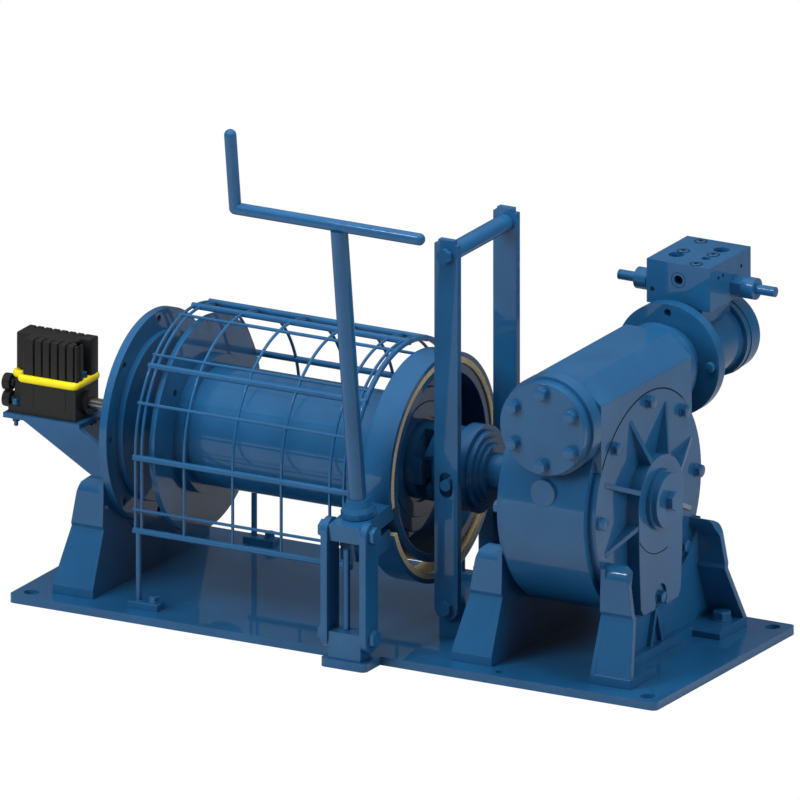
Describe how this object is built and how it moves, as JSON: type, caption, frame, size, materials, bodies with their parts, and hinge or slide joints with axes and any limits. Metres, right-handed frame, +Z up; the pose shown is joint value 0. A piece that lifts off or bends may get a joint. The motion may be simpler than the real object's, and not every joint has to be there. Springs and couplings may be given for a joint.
{
  "type": "mooring winch",
  "caption": "Hydraulic mooring winch on a base plate, with a rope drum in a guard cage, a hand-screwed band brake, a shift clutch, a worm gearbox and a drum limit switch.",
  "frame": {"origin": "centre of the base plate's underside", "axes": "+X along the drum axis from the limit switch to the gearbox, -Y towards the operator, +Z up"},
  "size_m": [1.1065, 0.6059, 0.7504],
  "materials": {
    "blue_paint": "gloss",
    "black_plastic": "satin",
    "yellow_gasket": "satin",
    "brake_lining": "matte",
    "bright_steel": "satin"
  },
  "bodies": {
    "frame": {"band_anchor": "blue_paint", "base_plate": "blue_paint", "brake_lining_upper": "brake_lining", "brake_strap_upper": "blue_paint", "cable_gland_lower": "black_plastic", "cable_gland_upper": "black_plastic", "cartridge_valve_left": "blue_paint", "cartridge_valve_right": "blue_paint", "gear_case": "blue_paint", "gear_cover_left": "blue_paint", "gear_cover_right": "blue_paint", "hydraulic_motor": "blue_paint", "left_pedestal": "blue_paint", "lever_bracket_back": "blue_paint", "lever_bracket_front": "blue_paint", "motor_flange": "blue_paint", "rope_guard": "blue_paint", "rope_guard_back": "blue_paint", "rope_guard_top": "blue_paint", "stand_bar_left": "blue_paint", "stand_bar_right": "blue_paint", "stand_block": "blue_paint", "stand_pin_bottom": "blue_paint", "stand_pin_top": "blue_paint", "switch_base": "black_plastic", "switch_bracket": "blue_paint", "switch_cap": "black_plastic", "switch_gasket": "yellow_gasket", "valve_block": "blue_paint", "worm_cover": "blue_paint"},
    "drum": {"drum_barrel": "blue_paint", "drum_flange": "blue_paint", "brake_drum": "blue_paint", "switch_coupling": "bright_steel"},
    "output": {"output_shaft": "blue_paint", "shaft_end_cap": "blue_paint"},
    "collar": {"clutch_collar": "blue_paint"},
    "shifter": {"shift_ring": "blue_paint"},
    "lever": {"lever_bar_front": "blue_paint", "lever_bar_back": "blue_paint", "lever_cross_tube": "blue_paint"},
    "spindle": {"brake_handle": "blue_paint"},
    "lower_band": {"brake_strap_lower": "blue_paint", "brake_lining_lower": "brake_lining", "brake_nut_block": "blue_paint"}
  },
  "joints": [
    {"name": "drum_spin", "type": "hinge", "parent": "frame", "child": "drum", "pos_m": [0, 0, 0.231], "axis": [1, 0, 0], "continuous": true},
    {"name": "shaft_spin", "type": "hinge", "parent": "frame", "child": "output", "pos_m": [0.3, 0, 0.231], "axis": [1, 0, 0], "continuous": true},
    {"name": "clutch_lever", "type": "hinge", "parent": "frame", "child": "lever", "pos_m": [0.1158, 0, 0.057], "axis": [0, -1, 0], "range_deg": [0, 5.5]},
    {"name": "ring_shift", "type": "slide", "parent": "frame", "child": "shifter", "axis": [-1, 0, 0], "range_m": [0, 0.0168]},
    {"name": "collar_shift", "type": "slide", "parent": "output", "child": "collar", "axis": [-1, 0, 0], "range_m": [0, 0.0168]},
    {"name": "brake_handle_turn", "type": "hinge", "parent": "frame", "child": "spindle", "pos_m": [0.0394, -0.193, 0.207], "axis": [0, 0.1305, -0.9914], "range_deg": [0, 720]},
    {"name": "band_close", "type": "slide", "parent": "frame", "child": "lower_band", "axis": [0, -0.1305, 0.9914], "range_m": [0, 0.01001]}
  ],
  "couplings": [
    {"joint": "ring_shift", "follows": "clutch_lever", "m_per_rad": 0.174},
    {"joint": "collar_shift", "follows": "clutch_lever", "m_per_rad": 0.174},
    {"joint": "band_close", "follows": "brake_handle_turn", "m_per_rad": 0.00079577}
  ]
}
